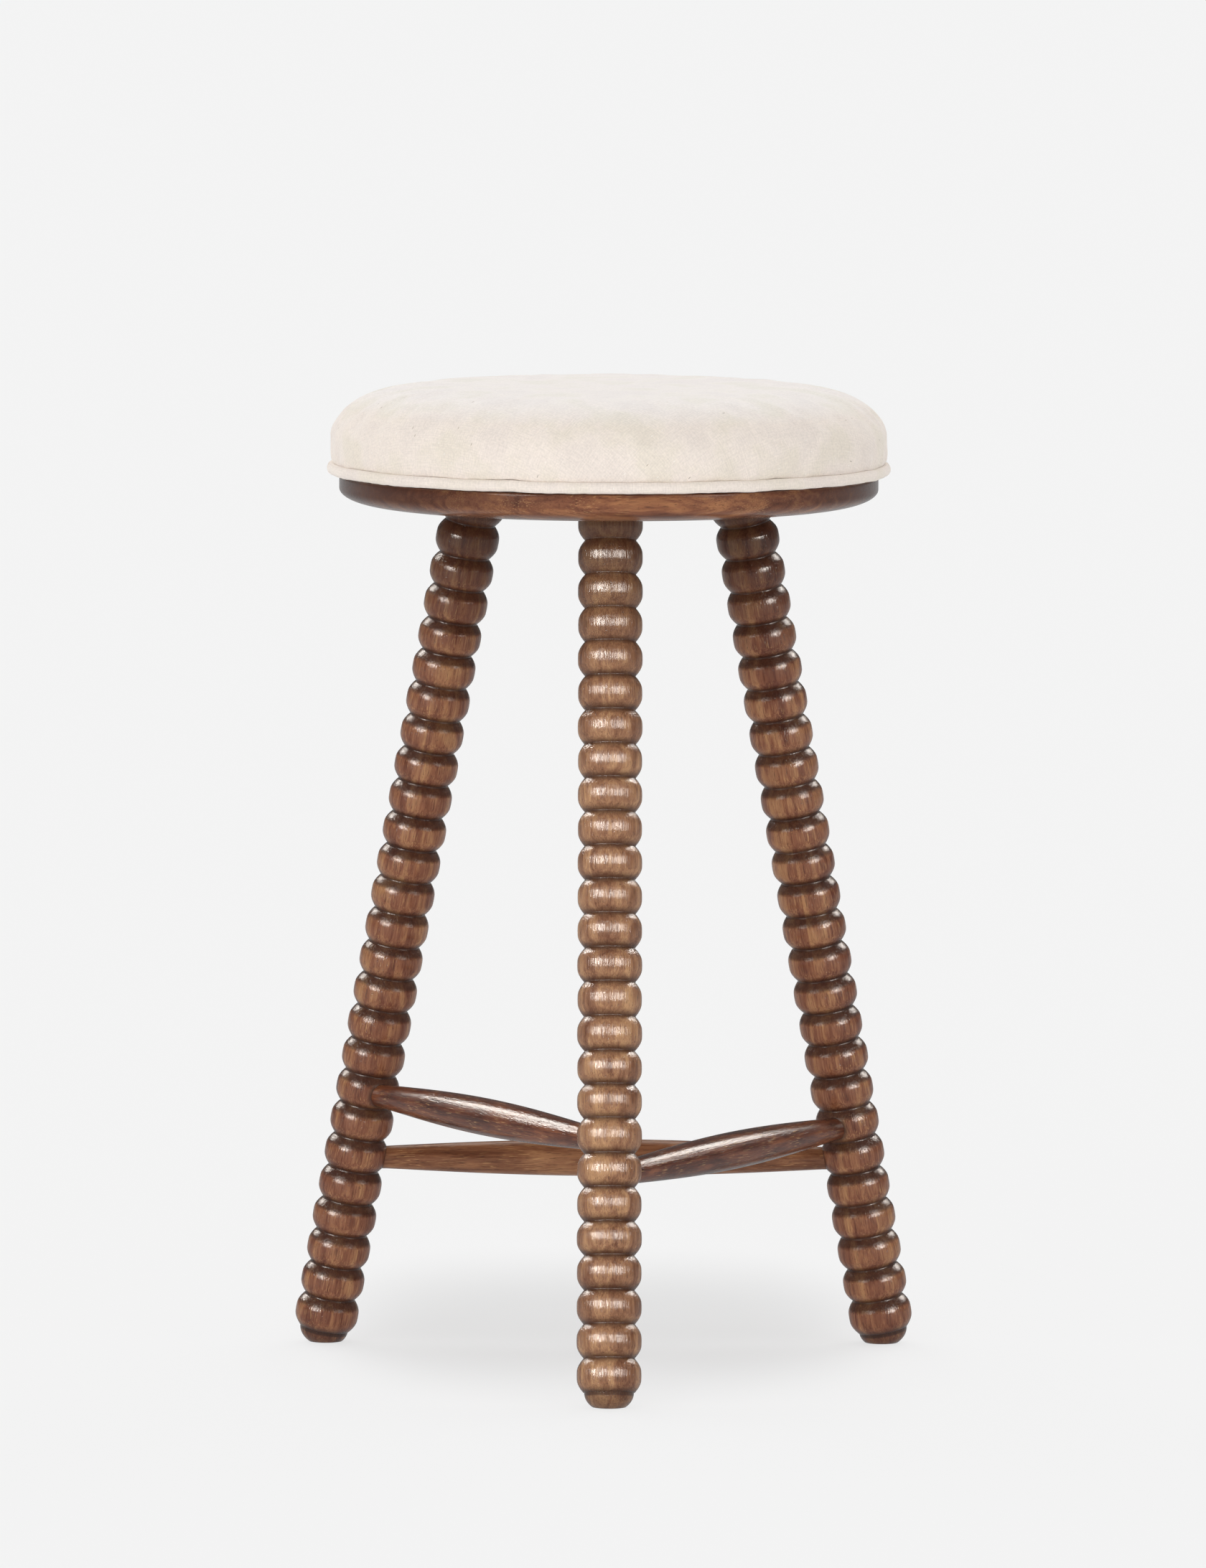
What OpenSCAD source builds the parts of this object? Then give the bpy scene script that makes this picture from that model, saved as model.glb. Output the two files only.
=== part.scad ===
// Three-legged counter stool with bobbin-turned legs and a round upholstered seat.
// Millimetres, +Z up. The origin is on the floor, under the middle of the stool's
// outline; the front leg points towards -Y, and left and right are the viewer's.

/* [Seat base] */
// Diameter of the round wooden seat base
base_d = 361; // [330:1:400]
// Thickness of the seat base
base_t = 20; // [18:0.5:30]
// How far in the rounding of its lower edge reaches
base_edge_w = 29; // [8:0.5:36]
// How high up the edge the same rounding reaches
base_edge_h = 10.7; // [4:0.1:14]
// Height of its underside above the floor
base_z = 580.2; // [500:0.1:700]

/* [Seat pad] */
// Height of the pad's crown above the seat base
pad_h = 59.8; // [48:0.1:80]
// Height at which the pad's upright side starts to turn over
pad_side_h = 26.4; // [20:0.1:30]
// How far the pad's side stands back from the outside of the welt
pad_set_back = 2.5; // [1:0.1:4]
// How far the side is drawn in at the seam above the welt
side_draw = 1.2; // [0.4:0.1:2]
// Height over which the side fills out again above the seam
side_fill_h = 9; // [5:0.1:11]
// How flat the pad is across the top
crown_power = 7.8; // [4:0.1:9]
// How square its shoulder is from the side
shoulder_power = 1.53; // [1.3:0.01:2.5]
// Thickness of the cover cloth
cover_t = 1; // [0.6:0.1:1.5]
// Thickness of the fibre wadding over the foam
batting_t = 5; // [3:0.5:8]
// Thickness of the plywood seat board
board_t = 9; // [8:0.5:12]
// Thickness of the welt
welt_d = 7.6; // [6:0.1:9]
// Thickness of the cord inside the welt
welt_cord_d = 5.4; // [3:0.1:5.6]
// How far the welt stands out past the edge of the seat base
welt_overhang = 8.2; // [4:0.1:12]
// Width of the welt's sewing flange, from the middle of the welt
welt_flange_w = 22; // [16:0.5:28]
// Thickness of that flange, two layers of cloth
welt_flange_t = 1; // [0.8:0.1:1.6]
// How much further in the cover's hem reaches than the flange
hem_extra = 13; // [8:0.5:14]

/* [Legs] */
// Diameter of the circle through the leg axes at the base's underside
leg_ring_d = 206.8; // [180:0.1:230]
// Splay of each leg from upright, in degrees
splay = 11.5; // [6:0.1:14]
// Number of full beads on a leg
bead_count = 25; // [21:1:28]
// Diameter of a bead at its crest
bead_d = 43; // [38:0.1:46]
// Diameter at the bottom of a groove
groove_d = 33.4; // [30:0.1:36]
// Length of the plain collar between the base and the first groove
collar_h = 16.8; // [14:0.1:24]
// Height of the foot below the last groove
foot_h = 9.8; // [8:0.1:11]
// Diameter of the foot where it leaves the last groove
foot_d = 32.8; // [30:0.1:33]
// Depth over which the foot's curve would close to a point
foot_round = 12.5; // [12:0.1:18]
// Diameter of the tenon at the top of a leg
tenon_d = 26; // [22:0.5:32]

/* [Tenon wedges] */
// Thickness of a wedge at its top
wedge_top_t = 3; // [2:0.1:4]
// Thickness of a wedge at its tip
wedge_tip_t = 1.2; // [0.8:0.1:1.8]
// Length of a wedge along the leg
wedge_l = 15; // [10:0.5:17]

/* [Stretchers] */
// Number of the bead, from the top, that carries the left stretcher
first_stretcher_bead = 18; // [12:1:19]
// Diameter of a stretcher at its middle
stretcher_mid_d = 25; // [20:0.1:30]
// Diameter of its round ends
stretcher_end_d = 15.4; // [12:0.1:16]
// How far an end goes into a leg
stretcher_tenon_l = 15; // [10:0.5:17]

/* [Glides] */
// Diameter of a foot glide
glide_d = 14; // [12:0.5:15]
// Thickness of a glide
glide_t = 2.5; // [2:0.1:4]
// How far a glide stands out below the wood
glide_proud = 0.5; // [0.4:0.1:1]
// Diameter of the glide nail's shank
nail_d = 2; // [1.6:0.1:2.4]
// Length of the nail
nail_l = 14; // [10:0.5:20]
// Diameter of its head
nail_head_d = 4.6; // [4:0.1:6]
// Thickness of its head
nail_head_t = 0.8; // [0.5:0.1:1]
// How far the head sits up inside the glide
nail_head_sunk = 0.5; // [0.3:0.1:0.8]

/* [Screws and staples] */
// How far the screws that hold the pad stand in from the edge of the cover's hem
screw_inset = 29.9; // [15:0.1:50]
// Diameter of a screw's shank
screw_d = 4.2; // [3.5:0.1:5]
// Diameter of a screw's head
screw_head_d = 8.4; // [7:0.1:9]
// Height of a screw's head
screw_head_h = 2.6; // [2:0.1:3]
// How far a screw bites into the board
screw_bite = 6.5; // [5:0.1:7]
// Diameter of the washer under a screw's head
washer_d = 10; // [9.5:0.1:11]
// Thickness of that washer
washer_t = 1; // [0.8:0.1:1.2]
// Diameter of the recess for the screw's head
recess_d = 12; // [11.5:0.1:14]
// Depth of that recess
recess_t = 4.8; // [4.4:0.1:6]
// Number of staples in each row under the pad
staple_count = 24; // [12:1:30]
// Width of a staple over its legs
staple_w = 10; // [8:0.1:12]
// Length of a staple's legs
staple_leg = 6; // [5:0.1:8]
// Thickness of staple wire
staple_t = 0.7; // [0.5:0.1:0.9]

/* [Clearances] */
// Room for glue or a sliding fit, on each side
glue_gap = 0.1; // [0.05:0.01:0.2]
// Gap between soft layers, and between them and the wood
soft_gap = 0.3; // [0.2:0.05:0.4]
// Spare depth at the end of a blind hole
end_gap = 1; // [0.5:0.1:1.5]
// Room round a screw's shank in the base and the washer
screw_gap = 0.3; // [0.2:0.05:0.4]

/* [Hidden] */
$fn = 96;

// Three legs at equal angles, with a bay between each two
half_bay = 180 / 3;
front = 270;
rear_left = front - 2 * half_bay;
rear_right = rear_left - 2 * half_bay;
LEGS = [front, rear_left, rear_right];
left_bay = front - half_bay;
right_bay = front + half_bay;
rear_bay = left_bay - 2 * half_bay;
BAYS = [rear_bay, left_bay, right_bay];

// Overrun of every cut, and how far a slab reaches past the stool
over = 8;
far = 2 * base_d;

// Legs, measured along their own axis from the base's underside
leg_ring_r = leg_ring_d / 2;
leg_l = base_z / cos(splay);
bead_r = bead_d / 2;
groove_r = groove_d / 2;
pitch = (leg_l - collar_h - foot_h) / bead_count;
crest_share = 0.25;
bead_power = 1.75;
bead_steps = 4;
foot_r = foot_d / 2;
foot_steps = 7;
tenon_r = tenon_d / 2;
wedge_kerf_l = wedge_l + end_gap;

// The floor cuts the tilted foot a little inwards of the leg's axis
foot_cut_d = foot_h - glide_proud / cos(splay);
foot_lean = tan(splay);
foot_shift = -foot_cut_d * foot_lean / pow(foot_round, 2)
    / (1 / pow(foot_r, 2) + pow(foot_lean / foot_round, 2));
foot_ring_r = axis_ring_r(glide_proud) + foot_shift / cos(splay);

// Seat, measured up from the floor and out from the seat's axis
base_r = base_d / 2;
base_top = base_z + base_t;
edge_steps = 8;
top_ease = base_t / 20;
welt_r = welt_d / 2;
welt_ring_r = base_r + welt_overhang - welt_r;
welt_z = base_top + soft_gap + welt_r;
flange_in_r = welt_ring_r - welt_flange_w;
flange_z = base_top + staple_t + glue_gap;
hem_in_r = flange_in_r - hem_extra;
hem_z = flange_z + welt_flange_t + soft_gap;
wrap_r = welt_ring_r - welt_r - soft_gap;
seam_z = welt_z + welt_r + soft_gap;
board_r = wrap_r - cover_t - soft_gap;
board_z = hem_z + cover_t + soft_gap;
pad_r = welt_ring_r + welt_r - pad_set_back;
pad_side_z = base_top + pad_side_h;
dome_h = pad_h - pad_side_h;
dome_steps = 14;
foam_z = board_z + board_t + soft_gap;
foam_in = pad_r - board_r;
foam_down = cover_t + batting_t + 2 * soft_gap;

// Staple rows and pad screws
cover_row_r = (hem_in_r + flange_in_r) / 2;
welt_row_r = (flange_in_r + board_r) / 2;
screw_ring_r = hem_in_r - screw_inset;
screw_seat_z = base_z + recess_t - washer_t;
screw_tip_z = board_z + screw_bite;
drive_w = screw_head_d / 7;
drive_t = screw_head_h / 2;

// Glides
glide_r = glide_d / 2;
glide_ease = glide_t / 4;

// The seat's axis stands back from the origin, which is under the middle of the outline
low_bead_z = (foot_h + pitch / 2) * cos(splay);
front_reach = axis_ring_r(low_bead_z) + bead_r * cos(splay);
rear_reach = welt_ring_r + welt_r;
axis_y = (front_reach - rear_reach) / 2;

// Distance of a leg's axis from the seat's axis at a height
function axis_ring_r(z) = leg_ring_r + (base_z - z) * tan(splay);
function backwards(list) = [for (i = [len(list) - 1:-1:0]) list[i]];

// Half a bead's outline, from its crest (v = 0) to its groove (v = 1)
function bead_point(middle, side, v) = [
    bead_r - (bead_r - groove_r) * pow(v, bead_power),
    middle + side * pitch / 2 * (crest_share + (1 - crest_share) * v)];
function bead_lower(middle) =
    [for (i = [0:bead_steps]) bead_point(middle, -1, i / bead_steps)];
function bead_upper(middle) =
    [for (i = [bead_steps - 1:-1:0]) bead_point(middle, 1, i / bead_steps)];
function bead_middle(number) = -collar_h - (number - 0.5) * pitch;

// Dome of the pad, from its side up and in to the seat's axis
function dome(inwards, down) = [for (i = [0:dome_steps]) let (a = 90 * i / dome_steps) [
    (pad_r - inwards) * pow(max(cos(a), 0), 2 / crown_power),
    pad_side_z + (dome_h - down) * pow(sin(a), 2 / shoulder_power)]];

// The cover's outline from its hem to the crown, in by the cloth's thickness or none
function cover_line(t) = concat(
    [[hem_in_r, hem_z + t], [wrap_r - t, hem_z + t], [wrap_r - t, seam_z + t],
     [pad_r - side_draw - t, seam_z + t], [pad_r - t, seam_z + side_fill_h]],
    dome(t, t));

// Height of a stretcher's axis: on the inner face of its bead's crest
function stretcher_z(number) = base_z + bead_middle(number) * cos(splay)
    - bead_r * sin(splay) * cos(90 - half_bay);
function stretcher_half(z) = axis_ring_r(z) * sin(half_bay) - bead_r;

module on_seat_axis() {
    translate([0, axis_y, 0]) children();
}

// A frame on a leg's axis: its origin at the base's underside, +Z up the leg
module on_leg(angle) {
    on_seat_axis() rotate([0, 0, angle]) translate([leg_ring_r, 0, base_z])
        rotate([0, -splay, 0]) children();
}

// A frame on the floor, at the middle of a leg's foot
module on_foot(angle) {
    on_seat_axis() rotate([0, 0, angle]) translate([foot_ring_r, 0, 0]) children();
}

// A frame at the middle of a bay's stretcher, +Z along the stretcher
module in_bay(angle, z) {
    on_seat_axis() rotate([0, 0, angle])
        translate([axis_ring_r(z) * cos(half_bay), 0, z]) rotate([90, 0, 0]) children();
}

// Everything between two heights
module slab(low, high) {
    translate([-far / 2, -far / 2, low]) cube([far, far, high - low]);
}

module turned(outline) {
    on_seat_axis() rotate_extrude() polygon(outline);
}

// Leg: a collar, the beads and a rounded foot on one axis
module leg_turning() {
    rotate_extrude() polygon(concat(
        [[0, bead_r], [bead_r, bead_r]],
        bead_lower(pitch / 2 - collar_h),
        [for (n = [1:bead_count]) each concat(
            bead_upper(bead_middle(n)), bead_lower(bead_middle(n)))],
        [for (i = [0:foot_steps]) let (a = 90 * i / foot_steps) [
            foot_r * max(cos(a), 0),
            -collar_h - bead_count * pitch - foot_round * sin(a)]]));
}

// The wedge's outline in its leg's frame, larger all round by gap
module wedge_outline(gap, length) {
    top_t = wedge_top_t + 2 * gap;
    tip_t = wedge_tip_t + 2 * gap;
    rise = base_t / cos(splay);
    grow = (top_t - tip_t) / length * over;
    rotate([90, 0, 0]) translate([0, 0, -tenon_r - over])
        linear_extrude(tenon_d + 2 * over) polygon([
            [-tip_t / 2, rise - length], [tip_t / 2, rise - length],
            [(top_t + grow) / 2, rise + over], [-(top_t + grow) / 2, rise + over]]);
}

module leg(angle, bays) {
    color("saddlebrown") difference() {
        union() {
            intersection() {
                on_leg(angle) leg_turning();
                slab(glide_proud, base_z);
            }
            intersection() {
                on_leg(angle) translate([0, 0, -tenon_r]) cylinder(r = tenon_r,
                    h = tenon_r + (base_t + tenon_r) / cos(splay));
                slab(base_z - tenon_r, base_top);
            }
        }
        on_leg(angle) wedge_outline(glue_gap, wedge_kerf_l);
        for (bay = bays) stretcher_socket(bay);
        on_foot(angle) {
            translate([0, 0, -over]) cylinder(r = glide_r + glue_gap, h = over + glide_t);
            cylinder(r = nail_d / 2 + glue_gap, h = nail_l + end_gap);
        }
    }
}

// Stretchers step down one bead from bay to bay, so that their ends clear each other
function bay_bead(bay) = first_stretcher_bead
    + (bay == left_bay ? 0 : bay == right_bay ? 1 : 2);

module stretcher(bay) {
    z = stretcher_z(bay_bead(bay));
    half = stretcher_half(z);
    steps = 16;
    end_r = stretcher_end_d / 2;
    mid_r = stretcher_mid_d / 2;
    color("sienna") in_bay(bay, z) rotate_extrude() polygon(concat(
        [[0, -half - stretcher_tenon_l], [end_r, -half - stretcher_tenon_l]],
        [for (i = [0:steps]) [end_r + (mid_r - end_r) * sin(180 * i / steps),
            half * (2 * i / steps - 1)]],
        [[end_r, half + stretcher_tenon_l], [0, half + stretcher_tenon_l]]));
}

module stretcher_socket(bay) {
    z = stretcher_z(bay_bead(bay));
    reach = stretcher_half(z) + stretcher_tenon_l + end_gap;
    in_bay(bay, z) translate([0, 0, -reach])
        cylinder(d = stretcher_end_d + 2 * glue_gap, h = 2 * reach);
}

// A wedge in the top of each tenon, sawn flush
module tenon_wedges() {
    color("peru") for (angle = LEGS) intersection() {
        on_leg(angle) wedge_outline(0, wedge_l);
        on_leg(angle) cylinder(r = tenon_r, h = 2 * base_t);
        slab(base_z, base_top);
    }
}

module seat_base() {
    color("brown") difference() {
        turned(concat(
            [[0, base_z]],
            [for (i = [0:edge_steps]) let (a = 90 * i / edge_steps) [
                base_r - base_edge_w * (1 - sin(a)),
                base_z + base_edge_h * (1 - cos(a))]],
            [[base_r, base_top - top_ease], [base_r - top_ease, base_top], [0, base_top]]));
        for (angle = LEGS) on_leg(angle) translate([0, 0, -over])
            cylinder(r = tenon_r + glue_gap, h = 2 * base_t + over);
        at_screws() {
            cylinder(d = screw_d + 2 * screw_gap, h = base_top + over);
            cylinder(d = recess_d, h = base_z + recess_t);
        }
    }
}

// A plastic disc under each foot, let into the wood
module glide(angle) {
    color("dimgray") on_foot(angle) difference() {
        rotate_extrude() polygon([[0, 0], [glide_r - glide_ease, 0],
            [glide_r, glide_ease], [glide_r, glide_t], [0, glide_t]]);
        translate([0, 0, -over]) cylinder(d = nail_d + 2 * glue_gap, h = 2 * over);
        translate([0, 0, -over]) cylinder(d = nail_head_d + 2 * glue_gap,
            h = over + nail_head_sunk + nail_head_t);
    }
}

module glide_nails() {
    nail_r = nail_d / 2;
    head_top = nail_head_sunk + nail_head_t;
    color("silver") for (angle = LEGS) on_foot(angle) rotate_extrude() polygon([
        [0, nail_head_sunk], [nail_head_d / 2, nail_head_sunk],
        [nail_head_d / 2, head_top], [nail_r, head_top],
        [nail_r, nail_l - nail_d], [0, nail_l]]);
}

module seat_board() {
    color("burlywood") difference() {
        turned([[0, board_z], [board_r, board_z],
            [board_r, board_z + board_t], [0, board_z + board_t]]);
        at_screws() cylinder(d = screw_d + 2 * glue_gap, h = screw_tip_z + end_gap);
        staple_slots(cover_row_r, hem_z);
        staple_slots(welt_row_r, flange_z);
    }
}

module foam_pad() {
    color("khaki") turned(concat([[0, foam_z], [board_r, foam_z]], dome(foam_in, foam_down)));
}

// Fibre wadding over the foam's top and down its side
module batting() {
    edge_z = seam_z + cover_t + soft_gap;
    outside = cover_t + soft_gap;
    inside = foam_in - soft_gap;
    color("white") turned(concat(
        [[board_r + soft_gap, edge_z], [pad_r - side_draw - outside, edge_z],
         [pad_r - outside, seam_z + side_fill_h]],
        dome(outside, outside),
        backwards(dome(inside, foam_down - soft_gap))));
}

module seat_cover() {
    color("linen") difference() {
        turned(concat(cover_line(0), backwards(cover_line(cover_t))));
        staple_slots(cover_row_r, hem_z);
        staple_slots(welt_row_r, flange_z);
    }
}

// Cloth round the cord, with both its edges sewn into one flange under the board
module welt_cover() {
    color("antiquewhite") difference() {
        on_seat_axis() rotate_extrude() difference() {
            union() {
                translate([welt_ring_r, welt_z]) circle(r = welt_r);
                translate([flange_in_r, flange_z]) square([welt_flange_w, welt_flange_t]);
            }
            translate([welt_ring_r, welt_z]) circle(d = welt_cord_d + 2 * glue_gap);
        }
        staple_slots(welt_row_r, flange_z);
    }
}

module welt_cord() {
    color("ivory") on_seat_axis() rotate_extrude()
        translate([welt_ring_r, welt_z]) circle(d = welt_cord_d);
}

// Places round a row of staples, each frame's +X pointing outwards
module staple_row(ring_r, z) {
    for (i = [0:staple_count - 1]) on_seat_axis() rotate([0, 0, 360 * (i + 0.5) / staple_count])
        translate([ring_r, 0, z]) children();
}

// A row of staples with their crowns just under the cloth at height z
module staples(ring_r, z) {
    color("silver") staple_row(ring_r, z) translate([staple_t / 2, 0, -staple_t])
        rotate([90, 0, -90]) linear_extrude(staple_t) difference() {
            translate([-staple_w / 2, 0]) square([staple_w, staple_t + staple_leg]);
            translate([-staple_w / 2 + staple_t, staple_t])
                square([staple_w - 2 * staple_t, staple_leg + over]);
        }
}

module staple_slots(ring_r, z) {
    wire = staple_t + 2 * glue_gap;
    staple_row(ring_r, z) for (side = [-1, 1])
        translate([-wire / 2, side * (staple_w - staple_t) / 2 - wire / 2, -staple_t])
            cube([wire, wire, staple_t + staple_leg + glue_gap]);
}

// Places of the pad screws: one in the middle of each bay
module at_screws() {
    for (bay = BAYS) on_seat_axis() rotate([0, 0, bay]) translate([screw_ring_r, 0, 0]) children();
}

module pad_screws() {
    shank_r = screw_d / 2;
    head_r = screw_head_d / 2;
    ease = screw_head_h / 3;
    low = screw_seat_z - screw_head_h;
    color("silver") at_screws() difference() {
        rotate_extrude() polygon([[0, low], [head_r - ease, low], [head_r, low + ease],
            [head_r, screw_seat_z], [shank_r, screw_seat_z],
            [shank_r, screw_tip_z - screw_d], [0, screw_tip_z]]);
        for (turn = [0, 90]) rotate([0, 0, turn])
            translate([-head_r * 0.6, -drive_w / 2, low - over])
                cube([head_r * 1.2, drive_w, over + drive_t]);
    }
}

module pad_screw_washers() {
    color("silver") at_screws() translate([0, 0, screw_seat_z]) difference() {
        cylinder(d = washer_d, h = washer_t);
        translate([0, 0, -over]) cylinder(d = screw_d + 2 * screw_gap, h = 2 * over);
    }
}

seat_base();
leg(front, [left_bay, right_bay]);  // leg_front
leg(rear_left, [left_bay, rear_bay]);  // leg_rear_left
leg(rear_right, [right_bay, rear_bay]);  // leg_rear_right
stretcher(left_bay);  // stretcher_left
stretcher(right_bay);  // stretcher_right
stretcher(rear_bay);  // stretcher_rear
tenon_wedges();
glide(front);  // glide_front
glide(rear_left);  // glide_rear_left
glide(rear_right);  // glide_rear_right
glide_nails();
seat_board();
foam_pad();
batting();
seat_cover();
welt_cover();
welt_cord();
staples(cover_row_r, hem_z);  // cover_staples
staples(welt_row_r, flange_z);  // welt_staples
pad_screws();
pad_screw_washers();
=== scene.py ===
"""Counter stool: bobbin-turned legs, spindle stretchers and a linen pad with a welt."""
import math
import random

import bmesh
import bpy
import numpy
from mathutils import Matrix, Vector, noise


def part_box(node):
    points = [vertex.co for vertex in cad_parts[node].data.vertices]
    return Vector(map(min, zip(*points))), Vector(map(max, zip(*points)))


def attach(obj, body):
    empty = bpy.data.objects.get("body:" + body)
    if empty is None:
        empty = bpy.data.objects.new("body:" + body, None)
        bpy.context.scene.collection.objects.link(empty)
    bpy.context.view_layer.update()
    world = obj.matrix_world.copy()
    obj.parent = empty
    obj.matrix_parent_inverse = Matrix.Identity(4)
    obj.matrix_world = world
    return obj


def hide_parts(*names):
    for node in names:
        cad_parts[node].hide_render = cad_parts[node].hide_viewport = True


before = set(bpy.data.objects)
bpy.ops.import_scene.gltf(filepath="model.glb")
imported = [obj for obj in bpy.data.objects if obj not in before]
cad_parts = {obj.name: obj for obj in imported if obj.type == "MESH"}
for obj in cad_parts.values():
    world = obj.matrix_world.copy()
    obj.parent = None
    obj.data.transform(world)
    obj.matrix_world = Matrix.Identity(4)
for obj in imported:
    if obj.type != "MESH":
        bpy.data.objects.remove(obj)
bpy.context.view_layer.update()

MM = 0.001
TURN = math.tau

# Seat, read from the frame
base_low, base_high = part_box("seat_base")
BASE_Z = base_low.z
BASE_TOP = base_high.z
BASE_T = BASE_TOP - BASE_Z
BASE_R = (base_high.x - base_low.x) / 2
AXIS_Y = (base_high.y + base_low.y) / 2
SEAT_MIDDLE = Vector((0, AXIS_Y, 0))
SEAT = Matrix.Translation(SEAT_MIDDLE)
CROWN_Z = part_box("seat_cover")[1].z
WELT_OUT_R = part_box("welt_cover")[1].x
FLOOR_CUT_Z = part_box("leg_front")[0].z

# Sizes that repeat the part's source
BASE_EDGE_W = 29 * MM
BASE_EDGE_H = 10.7 * MM
TOP_EASE = 2 * MM
PAD_SIDE_H = 26.4 * MM
PAD_SET_BACK = 2.5 * MM
SIDE_DRAW = 1.2 * MM
SIDE_FILL_H = 9 * MM
CROWN_POWER = 7.8
SHOULDER_POWER = 1.53
COVER_T = 1 * MM
WELT_R = 3.8 * MM
WELT_CORD_R = 2.8 * MM
WELT_FLANGE_W = 22 * MM
WELT_FLANGE_T = 1 * MM
HEM_EXTRA = 13 * MM
STAPLE_T = 0.7 * MM
GLUE_GAP = 0.1 * MM
SOFT_GAP = 0.3 * MM
LEG_RING_R = 103.4 * MM
SPLAY = math.radians(11.5)
BEADS = 25
BEAD_R = 21.5 * MM
GROOVE_R = 16.7 * MM
COLLAR_H = 16.8 * MM
FOOT_H = 9.8 * MM
FOOT_R = 16.4 * MM
FOOT_ROUND = 12.5 * MM
TENON_R = 13 * MM
WEDGE_TOP_T = 3 * MM
WEDGE_TIP_T = 1.2 * MM
WEDGE_KERF_L = 16 * MM
CREST_SHARE = 0.25
BEAD_POWER = 1.75
FIRST_STRETCHER_BEAD = 18
SPINDLE_MID_R = 12.5 * MM
SPINDLE_END_R = 7.7 * MM
SPINDLE_TENON_L = 15 * MM
END_GAP = 1 * MM
GLIDE_R = 7 * MM
GLIDE_T = 2.5 * MM
NAIL_R = 1 * MM
NAIL_HOLE_L = 15 * MM
SCREW_RING_R = 120 * MM
SCREW_HOLE_R = 2.4 * MM
RECESS_R = 6 * MM
RECESS_T = 4.8 * MM
OVER = 8 * MM

# Worked out as the part's source does
LEG_L = BASE_Z / math.cos(SPLAY)
PITCH = (LEG_L - COLLAR_H - FOOT_H) / BEADS
WELT_RING_R = WELT_OUT_R - WELT_R
WELT_Z = BASE_TOP + SOFT_GAP + WELT_R
FLANGE_Z = BASE_TOP + STAPLE_T + GLUE_GAP
FLANGE_IN_R = WELT_RING_R - WELT_FLANGE_W
HEM_IN_R = FLANGE_IN_R - HEM_EXTRA
HEM_Z = FLANGE_Z + WELT_FLANGE_T + SOFT_GAP
WRAP_R = WELT_RING_R - WELT_R - SOFT_GAP
SEAM_Z = WELT_Z + WELT_R + SOFT_GAP
PAD_R = WELT_OUT_R - PAD_SET_BACK
PAD_SIDE_Z = BASE_TOP + PAD_SIDE_H
DOME_H = CROWN_Z - PAD_SIDE_Z

LEGS = {
    "front": (math.radians(270), ("left", "right")),
    "rear_left": (math.radians(150), ("left", "rear")),
    "rear_right": (math.radians(30), ("right", "rear")),
}
BAYS = {
    "left": (math.radians(210), 0),
    "right": (math.radians(330), 1),
    "rear": (math.radians(90), 2),
}
HALF_BAY = math.radians(60)

# How finely the pieces are turned
LEG_STEPS = 72
BEAD_STEPS = 8
CREST_POINT = -0.5
GROOVE_POINT = 0.97
FOOT_STEPS = 14
SPINDLE_STEPS = 56
SPINDLE_RINGS = 48
BASE_STEPS = 192
EDGE_STEPS = 22
EASE_STEPS = 6
HOLE_STEPS = 48
SCREW_HOLE_STEPS = 24
NAIL_HOLE_STEPS = 16
TUCK_STEPS = 8
FILL_STEPS = 5
DOME_STEPS = 44
COVER_STEPS = 360
WELT_STEPS = 320
WELT_SIDES = 20
CORD_SIDES = 12
CREASE_ANGLE = math.radians(50)

# Unevenness of hand work
BEAD_WANDER = 0.3 * MM
GROOVE_WANDER = 0.35 * MM
BEAD_SHIFT = 0.3 * MM
CREST_FALL = 0.1 * MM
LAST_BEAD_LESS = 0.15 * MM
WELT_WAVE = 1 * MM
WAVE_FADE_H = 8 * MM

# A long wave and a short ripple: how tight each is, its layer of noise and its share
SEAM_WAVES = ((7, 3, 1), (24, 9, 0.7))

# The cover's turned-in edge, the fold at its hem, and its threads, drawn coarser than they are
TUCK_R = 1 * MM
TUCK_DROP = 0.5 * MM
HEM_FOLD_W = 6 * MM
HEM_FOLD_H = 3 * MM
THREAD_GAP = 0.9 * MM
THREAD_TURN = math.radians(40)

# How the linen is cut and held before it puckers, and how deep a pucker may be
CLOTH_EASE = 0.015
SEAM_HOLD_H = 0.4 * MM
START_UNEVEN = 0.25 * MM
START_WAVES_PER_M = 60
SWELL_PRESSURE = 2.5
SWELL_FRAMES = 16
PUCKER_MOST = 0.6 * MM

# Stain and painted shade, from 0 to 1, and where they gather
# The grooves are darkened by stain and by painted shade
GROOVE_STAIN_AND_SHADE_BELOW = 1 * MM
# Painted shadow of the seat over the top beads
TOP_PAINTED_SHADOW = 0.75
LAST_DARK_BEAD = 6
# The foot is a little darker all round
FOOT_DARKENING = 0.5
FOOT_FROM_BEAD = BEADS + 0.6
# Painted shade on the rear legs' upward faces
UPPER_SIDE_PAINTED_SHADE = 0.75
JOINT_STAIN = 0.85
JOINT_STAIN_W = 5 * MM
# Painted shadow under the welt, along the base's top edge
WELT_PAINTED_SHADOW = 0.7
WELT_SHADOW_LOW = 1.6 * MM
WELT_SHADOW_HIGH = 0.6 * MM
BARE_H = 0.05 * MM

# How far a face looks up, or on the board along its fibres, from 0 to 1, where a stain, a painted
# shade or a painted paler top sets in and where it is full
UPPER_FACES_SHADED = (0.2, 0.45)
END_GRAIN = (0.2, 0.95)
PAINTED_TOP_LIGHT = (0.75, 0.98)

# Where along the plank the pieces get their figure, in metres, and how the base's is turned
LEG_APART = 1.7
SPINDLE_APART = 0.9
SPINDLES_FROM = 7
BOARD_TURN = math.radians(6)

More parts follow.
